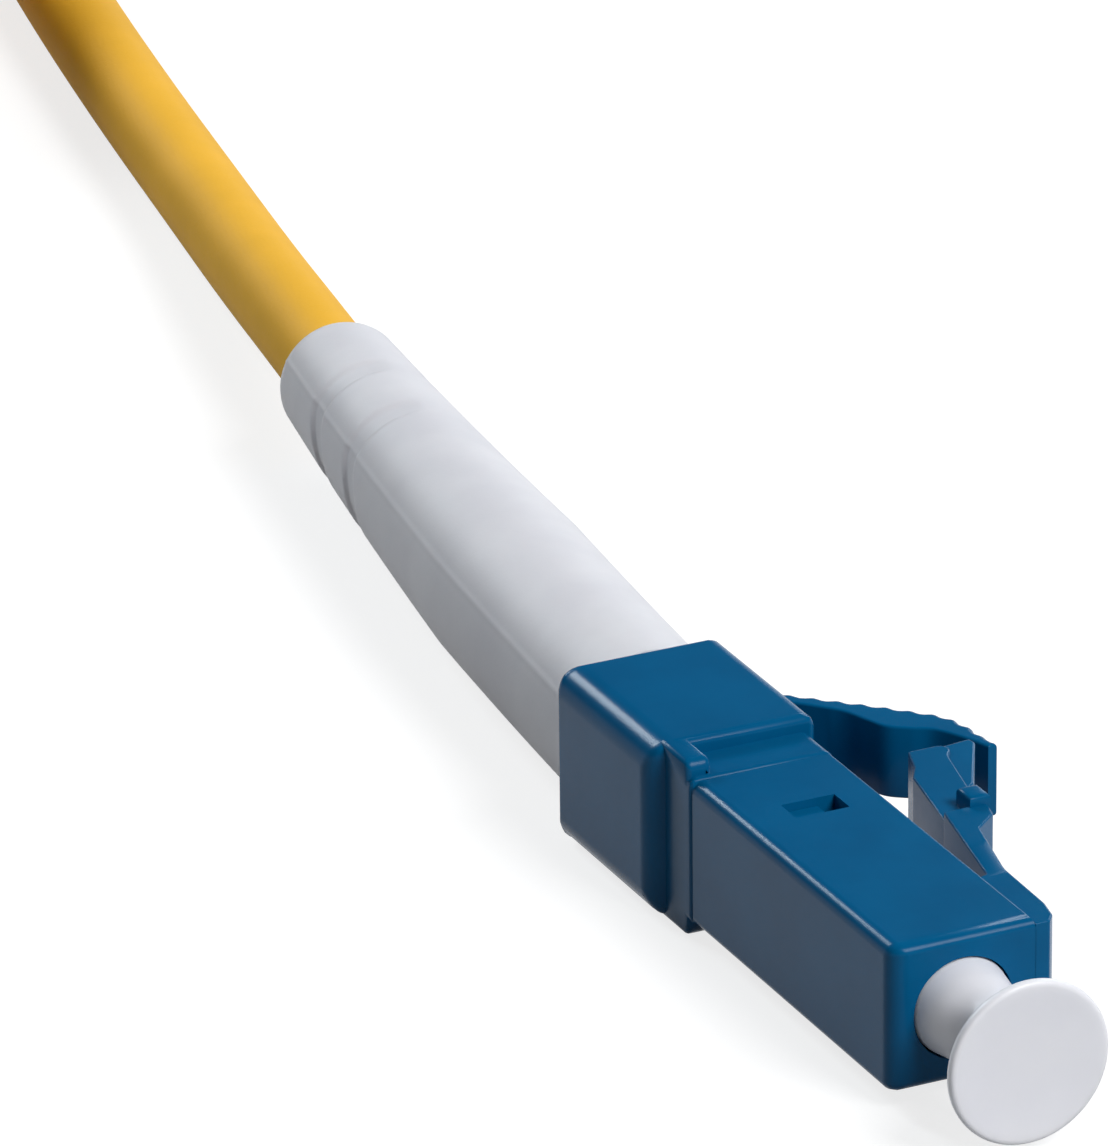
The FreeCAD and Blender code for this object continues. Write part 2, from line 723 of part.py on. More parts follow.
# Then out of the boot, down to the surface, and onto the hank's outer run.
CABLE_ROUTE = [
    (26.55, 3.117, 0.0), (32.5, 4.02, 0.0), (40.0, 5.48, -0.62), (48.65, 7.25, -1.22),
    (57.5, 8.70, -1.28), (66.65, 10.30, -1.27), (75.0, 11.9, -1.18), (80.5, 12.75, -1.02),
    (86.7, 13.0, -0.90),
]


def behind_rear(route):
    """A route's points in the plug frame."""
    return [Vector(-(REAR_END + back), side, up) for back, side, up in route]


def arc_route(points):
    """Straight runs joined by tangent arcs: a wire, its length and its smallest radius."""
    start = points[0]
    edges = []
    radii = []
    for before, corner, after in zip(points, points[1:], points[2:]):
        back = before.sub(corner)
        on = after.sub(corner)
        turn = math.pi - back.getAngle(on)
        reach = 0.45 * min(back.Length, on.Length)
        radius = reach / math.tan(turn / 2)
        back.normalize()
        on.normalize()
        enter = corner.add(back * reach)
        leave = corner.add(on * reach)
        inward = back.add(on).normalize()
        top = corner.add(inward * (math.hypot(reach, radius) - radius))
        edges.append(Part.LineSegment(start, enter).toShape())
        edges.append(Part.Arc(enter, top, leave).toShape())
        radii.append(radius)
        start = leave
    edges.append(Part.LineSegment(start, points[-1]).toShape())
    wire = Part.Wire(edges)
    return wire, wire.Length, min(radii)


def swept(points, across):
    """A round bar along a route, checked against its section times its length."""
    wire, length, tightest = arc_route(points)
    ring = Part.Wire([Part.makeCircle(float(across) / 2, points[0], points[1].sub(points[0]))])
    bar = wire.makePipeShell([ring], True, False)
    expected = math.pi / 4 * across ** 2 * length
    if abs(bar.Volume / expected - 1) > 0.01:
        raise RuntimeError("a swept bar has the wrong volume")
    print(f"swept {across:4.2f} mm: length {length:7.2f}, tightest radius {tightest:6.1f}")
    return bar


def boot():
    """A long tapered sleeve, bent a little, with a neck that plugs into the rear housing."""
    lead = -0.5
    straight = float(z.boot_straight)
    outside = lofted([(s, boot_across(s)) for s in
                      spaced(lead, straight, 4) + spaced(straight, float(z.boot_length), 6)[1:]])
    ahead = Part.makeCylinder(z.boot_size, 2.0, Vector(-REAR_END, 0, 0), ALONG)
    start = Vector(-(REAR_END + 1.0), 0, 0)
    neck = Part.makeCylinder(z.rear_bore / 2 - z.fit_gap, z.boot_neck_length + 1.0, start, ALONG)
    sleeve = z.cable_size / 2 + z.sleeve_wall
    throat = Part.makeCylinder(sleeve + z.boot_neck_gap, z.boot_neck_length + 1.0, start, ALONG)
    pocket = lofted([(0.02, z.boot_pocket), (z.boot_pocket_length, z.boot_pocket)])
    around_cable = z.cable_size + z.boot_bore_gap * 2
    narrowing = (z.boot_pocket - around_cable) / (z.boot_funnel_end - z.boot_pocket_length)
    funnel = lofted([(s, z.boot_pocket - narrowing * (s - z.boot_pocket_length))
                     for s in spaced(float(z.boot_pocket_length), float(z.boot_funnel_end), 4)])
    bore = swept(behind_rear(JACKET_ROUTE + CABLE_ROUTE[1:3]), around_cable)
    shape = outside.cut(ahead).fuse(neck)
    for hollow in (throat, pocket, funnel, bore):
        shape = shape.cut(hollow)
    return shaped("boot", shape)


def cable_in_boot():
    route = behind_rear(JACKET_ROUTE)
    jacket = swept(route, z.cable_size)
    yarn = swept(route, z.jacket_bore)
    core = swept(route, z.buffer_size)
    shaped("cable_jacket", jacket.cut(yarn))
    shaped("cable_yarn", yarn.cut(core))
    shaped("cable_buffer", core)


def cable_tube():
    return shaped("cable_tube", swept(behind_rear(CABLE_ROUTE), z.cable_size))


# ---------------------------------------------------------------- the hank and its ties

def hank_frame():
    """Placement at the hank's middle on the surface: its first outer run carries the cable on along X."""
    end = behind_rear(CABLE_ROUTE)[-1]
    track = z.hank_fold + z.cable_size / 2
    return Placement(Vector(end.x - z.hank_run / 2, end.y - track, -z.rear_flank), Rotation())


def racetrack(radius, low, high):
    """A block with straight sides and half-round ends, between two heights."""
    ends = [Part.makeCylinder(radius, high - low, Vector(side * z.hank_run / 2, 0, low)) for side in (1, -1)]
    sides = Part.makeBox(z.hank_run, radius * 2, high - low, Vector(-z.hank_run / 2, -radius, low))
    return sides.fuse(ends).removeSplitter()


def cable_hank():
    """Outer shape of seven turns in four layers of two: the top one lacks the part after the jacket's end."""
    inner = z.hank_fold - z.cable_size
    outer = z.hank_fold + z.cable_size
    top = z.tie_wall + z.cable_size * z.hank_layers
    turns = racetrack(outer, z.tie_wall, top).cut(racetrack(inner, z.tie_wall, top))
    past_end = z.hank_run / 2 + outer - z.hank_end
    gap = Part.makeBox(past_end, z.cable_size, z.cable_size,
                       Vector(-z.hank_end - past_end, z.hank_fold, top - z.cable_size))
    turns = turns.cut(gap)
    turns.Placement = hank_frame()
    return shaped("cable_hank", turns)


def hank_tie(name, along, near):
    """A strap round the runs on one side of the hank."""
    gap = z.fit_gap * 2
    wall = z.tie_wall - gap
    wide = z.cable_size * 2 + gap * 2
    high = z.cable_size * z.hank_layers + gap * 2
    low = z.tie_wall - gap
    outside = Part.makeBox(z.tie_width, wide + wall * 2, high + wall * 2, Vector(along, near - gap - wall, low - wall))
    inside = Part.makeBox(z.tie_width, wide, high, Vector(along, near - gap, low))
    ring = outside.cut(inside)
    ring.Placement = hank_frame()
    return shaped(name, ring)


def bare_end():
    """The cut end of the cable on top of the hank: aramid yarn, and then the buffered fibre."""
    track = z.hank_fold + z.cable_size / 2
    level = z.tie_wall + z.cable_size * (z.hank_layers - 0.5)
    for name, across, start, length in (
            ("end_yarn", z.jacket_bore, z.hank_end, z.end_yarn_length),
            ("end_buffer", z.buffer_size, z.hank_end + z.end_yarn_length, z.end_buffer_length)):
        bar = Part.makeCylinder(across / 2, length, Vector(-start, track, level), Vector(-1, 0, 0))
        bar.Placement = hank_frame()
        shaped(name, bar)


def build_all():
    front_housing()
    latch_arm()
    rear_housing()
    trigger()
    dust_cap()
    ferrule()
    fibre_stub()
    ferrule_flange()
    tight_buffer()
    guide_tube()
    spring()
    stop_body()
    crimp_post()
    aramid_yarn()
    crimp_sleeve()
    boot()
    cable_in_boot()
    cable_tube()
    cable_hank()
    hank_tie("hank_tie_1", z.tie_from_middle, z.hank_fold - z.cable_size)
    hank_tie("hank_tie_2", -z.tie_from_middle - z.tie_width, -z.hank_fold - z.cable_size)
    bare_end()


def write_all():
    doc.recompute()
    broken = [o.Name for o in doc.Objects if {"Invalid", "Error"} & set(o.State)]
    if broken:
        raise RuntimeError(f"objects that failed: {broken}")
    pieces = [o for o in doc.Objects
              if o.TypeId == "PartDesign::Body" or (o.TypeId == "Part::Feature" and o.Label == o.Name)]
    for piece in pieces:
        shape = piece.Shape
        if shape.isNull() or not shape.isValid() or not shape.Solids:
            raise RuntimeError(f"{piece.Label} has no valid solid")
    os.makedirs("parts", exist_ok=True)
    for piece in pieces:
        piece.Shape.exportStep(f"parts/{piece.Label}.step")
        box = piece.Shape.BoundBox
        print(f"{piece.Label:16} solids {len(piece.Shape.Solids)} volume {piece.Shape.Volume:9.3f}"
              f"  x {box.XMin:8.2f} {box.XMax:8.2f}  y {box.YMin:7.2f} {box.YMax:7.2f}"
              f"  z {box.ZMin:6.2f} {box.ZMax:6.2f}")


build_all()
write_all()
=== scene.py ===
"""Looks for a small-form fibre connector with its dust cap, bent boot and yellow cable.

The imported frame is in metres. The forms below are in millimetres in the plug's own frame: the nose face is
at x = 0 with the cable behind it, the latch is on the +Y side and +Z is the upper flank.
"""

import json
import math
import random

import bmesh
import bpy
from mathutils import Matrix, Vector


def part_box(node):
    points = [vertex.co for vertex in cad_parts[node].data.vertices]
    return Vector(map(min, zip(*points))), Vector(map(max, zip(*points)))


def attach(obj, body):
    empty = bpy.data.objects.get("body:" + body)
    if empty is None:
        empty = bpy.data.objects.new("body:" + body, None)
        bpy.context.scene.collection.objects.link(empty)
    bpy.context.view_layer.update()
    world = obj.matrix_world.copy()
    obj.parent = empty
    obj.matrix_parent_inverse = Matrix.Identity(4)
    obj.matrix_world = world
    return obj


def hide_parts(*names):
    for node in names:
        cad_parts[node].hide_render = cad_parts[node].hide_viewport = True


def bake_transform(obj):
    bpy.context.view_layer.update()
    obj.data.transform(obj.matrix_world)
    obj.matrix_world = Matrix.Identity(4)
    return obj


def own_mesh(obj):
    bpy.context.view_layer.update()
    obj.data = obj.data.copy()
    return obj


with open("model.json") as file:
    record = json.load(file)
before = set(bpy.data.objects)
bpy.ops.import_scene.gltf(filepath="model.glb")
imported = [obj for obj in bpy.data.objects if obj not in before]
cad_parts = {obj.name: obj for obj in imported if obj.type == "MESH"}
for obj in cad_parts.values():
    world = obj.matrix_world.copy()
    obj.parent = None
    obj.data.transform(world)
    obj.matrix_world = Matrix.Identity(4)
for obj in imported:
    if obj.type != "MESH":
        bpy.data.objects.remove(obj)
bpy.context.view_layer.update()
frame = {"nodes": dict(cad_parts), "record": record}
NOSE = Vector(next(m["pos_m"] for m in frame["record"]["mounts"] if m["name"] == "plug_nose"))
PLACE = Matrix.Translation(NOSE) @ Matrix.Scale(0.001, 4)
# How far behind the nose face each of these ends: the plug's block, its tenon, the neck and the rear housing.
PLUG_END = 12.45
TENON_END = 15.55
NECK_END = 14.0
REAR_END = 20.35
# Half the width of the plug's block and of the tenon behind it, and the tenon's clearance in its socket.
PLUG_HALF = 2.25
TENON_HALF = 1.95
TENON_GAP = 0.03


# ---------------------------------------------------------------- forms

def as_object(bm, name="work"):
    """An object made of a form, which is used up."""
    mesh = bpy.data.meshes.new(name)
    bm.to_mesh(mesh)
    bm.free()
    made = bpy.data.objects.new(name, mesh)
    bpy.context.scene.collection.objects.link(made)
    return made


def removed(*objects):
    """Takes working objects away again, with their meshes."""
    for o in objects:
        mesh = o.data
        bpy.data.objects.remove(o)
        bpy.data.meshes.remove(mesh)


def worked(bm, kind, **settings):
    """The form after one modifier."""
    holder = as_object(bm)
    tool = holder.modifiers.new("tool", kind)
    for key, value in settings.items():
        setattr(tool, key, value)
    graph = bpy.context.evaluated_depsgraph_get()
    mesh = bpy.data.meshes.new_from_object(holder.evaluated_get(graph))
    out = bmesh.new()
    out.from_mesh(mesh)
    bpy.data.meshes.remove(mesh)
    removed(holder)
    return out


def combined(bm, other, operation):
    """The form with another closed form added to it or cut out of it."""
    tool = as_object(other, "other")
    out = worked(bm, "BOOLEAN", operation=operation, solver="EXACT", object=tool)
    removed(tool)
    bmesh.ops.remove_doubles(out, verts=out.verts, dist=1e-4)
    bmesh.ops.dissolve_degenerate(out, edges=out.edges, dist=1e-4)
    return out


def eased(bm, rules, steps=4):
    """The form with its edges rounded: rules pairs each radius with the test that picks its edges, which is
    given the middle of an edge and the way that it runs. The first test that holds counts."""
    weight = bm.edges.layers.float.new("bevel_weight_edge")
    for edge in bm.edges:
        a, b = edge.verts[0].co, edge.verts[1].co
        for radius, picks in rules:
            if picks((a + b) / 2, (b - a).normalized()):
                edge[weight] = radius
                break
    return worked(bm, "BEVEL", limit_method="WEIGHT", width=1.0, segments=steps, profile=0.5,
                  use_clamp_overlap=False)


def along_x(way):
    """Whether an edge runs along the plug."""
    return abs(way.x) > 0.999


def on_flank(spot, half):
    """Whether a spot is on one of the two flanks, half to each side of the middle."""
    return abs(spot.z) > half - 0.01


def block(low, high):
    """A plain block between two corners."""
    bm = bmesh.new()
    low, high = Vector(low), Vector(high)
    size = Matrix.Diagonal((*(high - low), 1.0))
    bmesh.ops.create_cube(bm, size=1.0, matrix=Matrix.Translation((low + high) / 2) @ size)
    return bm


def cornered(corners, steps=4):
    """An outline whose corners, given as (x, y, radius), are rounded."""
    out = []
    for before, corner, after in zip(corners[-1:] + corners[:-1], corners, corners[1:] + corners[:1]):
        point, radius = Vector(corner[:2]), corner[2]
        if not radius:
            out.append(tuple(point))
            continue
        back = (Vector(before[:2]) - point).normalized()
        on = (Vector(after[:2]) - point).normalized()
        half = back.angle(on) / 2
        centre = point + (back + on).normalized() * (radius / math.sin(half))
        start = point + back * (radius / math.tan(half)) - centre
        end = point + on * (radius / math.tan(half)) - centre
        out += [tuple(centre + start.slerp(end, k / steps) * radius) for k in range(steps + 1)]
    return out


def stepped(at, stops):
    """A value that moves smoothly between stops of (where, value)."""
    value = stops[0][1]
    for (start, _), (end, target) in zip(stops, stops[1:]):
        t = min(max((at - start) / (end - start), 0.0), 1.0)
        value += (target - value) * t * t * (3 - 2 * t)
    return value


def through(points, steps):
    """A smooth line through points, with a number of steps from each to the next."""
    points = [Vector(p) for p in points]
    ends = [points[0] * 2 - points[1], *points, points[-1] * 2 - points[-2]]
    out = []
    for a, b, c, d in zip(ends, ends[1:], ends[2:], ends[3:]):
        for k in range(steps):
            t = k / steps
            out.append(0.5 * (2 * b + (c - a) * t + (2 * a - 5 * b + 4 * c - d) * t ** 2
                              + (3 * b - a - 3 * c + d) * t ** 3))
    return out + [points[-1]]


def prism(outline, half):
    """A side outline given a thickness of twice half across the flanks."""
    bm = bmesh.new()
    face = bm.faces.new([bm.verts.new((x, y, -half)) for x, y in outline])
    raised = bmesh.ops.extrude_face_region(bm, geom=[face])["geom"]
    far_corners = [g for g in raised if isinstance(g, bmesh.types.BMVert)]
    bmesh.ops.translate(bm, vec=(0, 0, 2 * half), verts=far_corners)
    bmesh.ops.recalc_face_normals(bm, faces=bm.faces)
    return bm


def turned(rings, steps=64):
    """A skin turned about the plug's axis from (x, radius) stations, closed where its ends meet."""
    bm = bmesh.new()
    line = [bm.verts.new((x, radius, 0)) for x, radius in rings]
    edges = [bm.edges.new(pair) for pair in zip(line, line[1:])]
    bmesh.ops.spin(bm, geom=line + edges, cent=(0, 0, 0), axis=(1, 0, 0), angle=math.tau, steps=steps,
                   use_merge=True)
    bmesh.ops.remove_doubles(bm, verts=bm.verts, dist=1e-5)
    bmesh.ops.recalc_face_normals(bm, faces=bm.faces)
    return bm


def finished(bm, name, finish, body=None, stands_for=(), sharp=35):
    """A piece in its place with its finish, riding on a body."""
    bm.transform(PLACE)
    bmesh.ops.recalc_face_normals(bm, faces=bm.faces)
    made = as_object(bm, name)
    made.data.polygons.foreach_set("use_smooth", [True] * len(made.data.polygons))
    made.data.set_sharp_from_angle(angle=math.radians(sharp))
    made.data.materials.append(finish)
    even = made.modifiers.new("even_shading", "WEIGHTED_NORMAL")
    even.keep_sharp = True
    if body:
        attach(made, body)
    if stands_for:
        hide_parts(*stands_for)
    return made


# ---------------------------------------------------------------- finishes

def paint(code):
    """An sRGB hex value as linear red, green, blue and one."""
    parts = [int(code[k:k + 2], 16) / 255 for k in (1, 3, 5)]
    return (*[p / 12.92 if p <= 0.04045 else ((p + 0.055) / 1.055) ** 2.4 for p in parts], 1.0)


def add(tree, kind, settings=None, links=None):
    """A node with its settings, which are its own properties or its sockets' values, and its links."""
    made = tree.nodes.new("ShaderNode" + kind)
    for key, value in (settings or {}).items():
        if isinstance(key, str) and hasattr(made, key):
            setattr(made, key, value)
        else:
            made.inputs[key].default_value = value
    for key, source in (links or {}).items():
        tree.links.new(source, made.inputs[key])
    return made


def material(name, shader, colours, patch, grain, relief, rough):
    """A finish. shader sets the shader's sockets, and two colours are mixed in soft patches. patch, grain and
    relief are millimetres: the size of the patches, and the size and the height of the surface's fine grain.
    rough is the least and the most roughness, which vary with that grain."""
    made = bpy.data.materials.new(name)
    made.use_nodes = True
    tree = made.node_tree
    bsdf = tree.nodes["Principled BSDF"]
    for key, value in shader.items():
        bsdf.inputs[key].default_value = value
    place = add(tree, "TexCoord").outputs["Object"]
    cloud = add(tree, "TexNoise", {"Scale": 1000 / patch, "Detail": 3.0}, {"Vector": place})
    tint = add(tree, "ValToRGB", {}, {"Fac": cloud.outputs["Fac"]})
    for stop, (at, code) in zip(tint.color_ramp.elements, ((0.35, colours[0]), (0.65, colours[1]))):
        stop.position = at
        stop.color = paint(code)
    tree.links.new(tint.outputs["Color"], bsdf.inputs["Base Color"])
    fine = add(tree, "TexNoise", {"Scale": 1000 / grain, "Detail": 2.0, "Roughness": 0.6}, {"Vector": place})
    bump = add(tree, "Bump", {"Strength": 1.0, "Distance": relief / 1000}, {"Height": fine.outputs["Fac"]})
    tree.links.new(bump.outputs["Normal"], bsdf.inputs["Normal"])
    spread = add(tree, "MapRange", {"To Min": rough[0], "To Max": rough[1]}, {"Value": fine.outputs["Fac"]})
    tree.links.new(spread.outputs["Result"], bsdf.inputs["Roughness"])
    return made


# Injection-moulded blue polybutylene terephthalate: an even, deep colour with a fine eroded-mould grain and a
# satin shine that lights up along every edge.
blue_pbt = material(
    "moulded_blue_pbt", {"IOR": 1.5, "Specular IOR Level": 0.09},
    ("#015784", "#01527e"), patch=2.5, grain=0.16, relief=0.0012, rough=(0.20, 0.29))
# Soft thermoplastic elastomer, moulded white: milky, matt and faintly grey, with a little light inside it.
white_tpe = material(
    "moulded_white_tpe", {"IOR": 1.48, "Subsurface Weight": 0.5, "Subsurface Radius": (0.9, 0.8, 0.8),
                          "Subsurface Scale": 0.001},
    ("#dbdadf", "#d4d3d9"), patch=3.0, grain=0.12, relief=0.003, rough=(0.52, 0.66))
# White polyethylene of the pull-off cap: waxy and cool white, with a little light inside its thin rim.
white_pe = material(
    "moulded_white_pe", {"IOR": 1.51, "Subsurface Weight": 0.35, "Subsurface Radius": (1.0, 1.0, 1.05),
                         "Subsurface Scale": 0.0005},
    ("#e8e9ef", "#e4e5ec"), patch=3.0, grain=0.15, relief=0.0015, rough=(0.34, 0.46))
# Extruded flame-retardant yellow jacket: matt with a fine sandy grain.
yellow_lszh = material(
    "extruded_yellow_lszh", {"IOR": 1.5, "Specular IOR Level": 0.14},
    ("#f5ba38", "#efb534"), patch=4.0, grain=0.13, relief=0.008, rough=(0.55, 0.72))
# Polished zirconia ceramic: dense white with a clear gloss.
zirconia = material(
    "polished_zirconia", {"IOR": 2.1},
    ("#ecebe6", "#e8e6e0"), patch=2.0, grain=0.05, relief=0.0002, rough=(0.10, 0.16))
# Turned brass under bright nickel: a fine grain in place of lathe marks, warm silver.
nickel_brass = material(
    "nickelled_turned_brass", {"Metallic": 1.0},
    ("#bdb8ae", "#b2ada3"), patch=1.0, grain=0.05, relief=0.001, rough=(0.22, 0.34))
# Drawn stainless spring wire: bright, with a faint grain in place of draw lines.
spring_wire = material(
    "drawn_stainless_wire", {"Metallic": 1.0},
    ("#a6a7a9", "#9b9c9f"), patch=1.0, grain=0.04, relief=0.0008, rough=(0.20, 0.30))
# Extruded fluoropolymer tube: milky and smooth.
clear_fep = material(
    "extruded_fep", {"IOR": 1.34, "Transmission Weight": 0.4},
    ("#eef1f4", "#e8ecf0"), patch=2.0, grain=0.2, relief=0.0005, rough=(0.25, 0.35))
# Smooth tight buffer of the fibre, in natural white polyamide.
white_pa = material(
    "extruded_white_pa", {"IOR": 1.53},
    ("#efeeea", "#e9e8e2"), patch=2.0, grain=0.1, relief=0.0008, rough=(0.35, 0.45))
# Aramid yarn: straw yellow filaments with a silky sheen.
aramid = material(
    "aramid_yarn", {"IOR": 1.6, "Sheen Weight": 0.4, "Sheen Roughness": 0.35},
    ("#d9b95c", "#c9a548"), patch=0.4, grain=0.05, relief=0.004, rough=(0.45, 0.6))
# Drawn silica fibre: clear and glossy.
silica = material(
    "drawn_silica", {"IOR": 1.458, "Transmission Weight": 1.0},
    ("#f5f8fb", "#f0f4f8"), patch=1.0, grain=0.05, relief=0.0, rough=(0.02, 0.05))
# Woven polyamide hook-and-loop band: black, dull, with looped fuzz.
loop_band = material(
    "woven_black_pa", {"IOR": 1.53, "Sheen Weight": 0.5, "Sheen Roughness": 0.6},
    ("#19191b", "#0f0f11"), patch=1.2, grain=0.35, relief=0.05, rough=(0.75, 0.9))

# The CAD pieces that stay as they are, with their finishes.
CAD_FINISHES = {
    "stop_body": blue_pbt, "ferrule": zirconia, "fibre_stub": silica, "ferrule_flange": nickel_brass,
    "tight_buffer": white_pa, "guide_tube": clear_fep, "crimp_post": nickel_brass, "aramid_yarn": aramid,
    "crimp_sleeve": nickel_brass, "cable_jacket": yellow_lszh, "cable_yarn": aramid, "cable_buffer": white_pa,
}
for node_name, finish in CAD_FINISHES.items():
    shown = frame["nodes"][node_name].data
    shown.materials.clear()
    shown.materials.append(finish)


# ---------------------------------------------------------------- closing spring

# The wire's thickness, the turns, and how far the ferrule floats back, which is in metres.
SPRING_WIRE = 0.28
SPRING_TURNS = 6


def spring_form():
    """The spring behind the ferrule: round wire in open turns."""
    low, high = (PLACE.inverted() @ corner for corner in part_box("spring"))
    mean_radius = (high.y - low.y - SPRING_WIRE) / 2
    steps = 32 * SPRING_TURNS
    rise = (high.x - low.x - SPRING_WIRE) / steps
    bm = bmesh.new()
    bmesh.ops.create_circle(bm, segments=10, radius=SPRING_WIRE / 2,
                            matrix=Matrix.Translation((low.x + SPRING_WIRE / 2, mean_radius, 0)))
    bmesh.ops.spin(bm, geom=list(bm.verts) + list(bm.edges), cent=(0, 0, 0), axis=(1, 0, 0),
                   dvec=(rise, 0, 0), angle=math.tau * SPRING_TURNS, steps=steps, use_merge=False)
    bmesh.ops.holes_fill(bm, edges=[e for e in bm.edges if e.is_boundary])
    return bm


coil = finished(spring_form(), "closing_spring", spring_wire, "connector", ("spring",),
                sharp=40)
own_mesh(coil)


# ---------------------------------------------------------------- cable

# Sizes in this section are metres, apart from those of the hook-and-loop bands.
# Where the cable runs after the boot: how far behind the rear housing, to the latch side, and above the
# plug's axis.
CABLE_ROUTE = [
    (0.02655, 0.003117, 0.0), (0.0325, 0.00402, 0.0), (0.0400, 0.00548, -0.00062),
    (0.04865, 0.00725, -0.00122), (0.0575, 0.00870, -0.00128), (0.06665, 0.01030, -0.00127),
    (0.0750, 0.0119, -0.00118), (0.0805, 0.01275, -0.00102), (0.0867, 0.0130, -0.00090),
]
CABLE = 0.003
TIE_WALL = 0.0004
# The hank: the length of its straight runs, the radius midway between its two tracks at the half-round ends,
# its layers, and how far past its middle the last run is cut.
HANK_RUN = 0.040
HANK_FOLD = 0.0105
HANK_LAYERS = 4
HANK_END = 0.008


route = [NOSE + Vector((-REAR_END / 1000 - back, side, up)) for back, side, up in CABLE_ROUTE]
hank_middle = route[-1] - Vector((HANK_RUN / 2, HANK_FOLD + CABLE / 2, route[-1].z))
# The hank's laps: each has four quarters, which are the run away, the far fold, the run back and the near
# fold. Each quarter has the track (1 outer, 0 inner) and the layer where it ends.
HANK_LAPS = [
    [(1, 0), (1, 0), (1, 0), (0, 0)],
    [(0, 0), (0, 0), (0, 1), (0, 1)],
    [(0, 1), (1, 1), (1, 1), (1, 1)],
    [(1, 2), (1, 2), (1, 2), (0, 2)],
    [(0, 2), (0, 2), (0, 3), (0, 3)],
    [(0, 3), (1, 3), (1, 3), (1, 3)],
]
FOLD_POINTS = 6
RUN_POINTS = 3


def in_hank(quarter, part, track, layer):
    """A point of the hank: a part of one quarter of a lap, its track and its layer."""
    radius = HANK_FOLD + CABLE * (track - 0.5)
    height = TIE_WALL + CABLE * (layer + 0.5)
    side = 1 if quarter < 2 else -1
    if quarter % 2 == 0:
        spot = Vector((side * HANK_RUN * (0.5 - part), side * radius, height))
    else:
        turn = math.pi * part
        spot = Vector((-side * (HANK_RUN / 2 + radius * math.sin(turn)),
                       side * radius * math.cos(turn), height))
    return hank_middle + spot


def hank_points():
    """Control points of the folded turns. Those on a fold stand a little outside it, because the line runs
    inside its points."""
    points = []
    track, layer = 1, 0
    outward = 1 / math.cos(math.pi / FOLD_POINTS / 2)
    for lap in HANK_LAPS:
        for quarter, (to_track, to_layer) in enumerate(lap):
            folded = quarter % 2
            count = FOLD_POINTS if folded else RUN_POINTS
            for k in range(count):
                part = (k + 0.5) / count
                now = in_hank(quarter, part, stepped(part, [(0.1, track), (0.9, to_track)]),
                              stepped(part, [(0.1, layer), (0.9, to_layer)]))
                if folded:
                    side = 1 if quarter == 1 else -1
                    end = hank_middle + Vector((-side * HANK_RUN / 2, 0, now.z - hank_middle.z))
                    now = end + (now - end) * outward
                points.append(now)
            track, layer = to_track, to_layer
    cut = (HANK_RUN / 2 + HANK_END) / HANK_RUN
    return points + [in_hank(0, cut * part, 1, 3) for part in (0.3, 0.7, 1.0)]


def on_top(past):
    """A point past the jacket's cut end, in line with the hank's last run."""
    return in_hank(0, 0.5, 1, 3) - Vector((HANK_END + past, 0, 0))


def add_line(curve, points):
    """A smooth line in a curve, with these control points."""
    spline = curve.splines.new("NURBS")
    spline.points.add(len(points) - 1)
    for point, place in zip(spline.points, points):
        point.co = (*place, 1)
    spline.order_u = 3
    spline.use_endpoint_u = True
    spline.resolution_u = 8


def bar(name, lines, across, finish, stands_for, sides=10):
    """Round bars along one or more lines, with closed ends."""
    curve = bpy.data.curves.new(name, "CURVE")
    curve.dimensions = "3D"
    for points in lines:
        add_line(curve, points)
    curve.bevel_depth = across / 2
    curve.bevel_resolution = sides
    curve.use_fill_caps = True
    curve.materials.append(finish)
    made = bpy.data.objects.new(name, curve)
    bpy.context.scene.collection.objects.link(made)
    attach(made, "connector")
    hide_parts(*stands_for)
    return made


cable = bar("cable", [route + hank_points()], CABLE, yellow_lszh,
            ("cable_tube", "cable_hank"))

# The stripped end on top of the hank: yarn filaments, buffered fibre and bare glass. The filaments are drawn
# thicker than real ones, so that they show.
YARN_COUNT = 40
YARN_RADIUS = 0.0007
FILAMENT = 0.0002
BUFFER = 0.0009
FIBRE = 0.000125
INSIDE_JACKET = 0.0003


def yarn_filament():
    """One filament, which turns and spreads a little on its way out of the jacket."""
    turn, spread = random.uniform(0, math.tau), math.sqrt(random.random()) * YARN_RADIUS
    reach = random.uniform(0.0035, 0.0054)
    points = []
    for t in (0.0, 0.25, 0.5, 0.75, 1.0):
        aside = Vector((0, math.cos(turn + t), math.sin(turn + t))) * spread * (1 + 0.2 * t)
        points.append(on_top(reach * t - INSIDE_JACKET) + aside)
    return points


random.seed(7)
filaments = [yarn_filament() for _ in range(YARN_COUNT)]
end_yarn = bar("end_yarn_filaments", filaments, FILAMENT, aramid, ("end_yarn",), sides=1)
buffer_line = [on_top(past) for past in (-INSIDE_JACKET, 0.004, 0.008, 0.0125)]
end_buffer = bar("end_fibre_buffer", [buffer_line], BUFFER, white_pa, ("end_buffer",), sides=4)
fibre_line = [on_top(past) for past in (0.0123, 0.014, 0.0162)]
end_glass = bar("end_bare_fibre", [fibre_line], FIBRE, silica, (), sides=2)


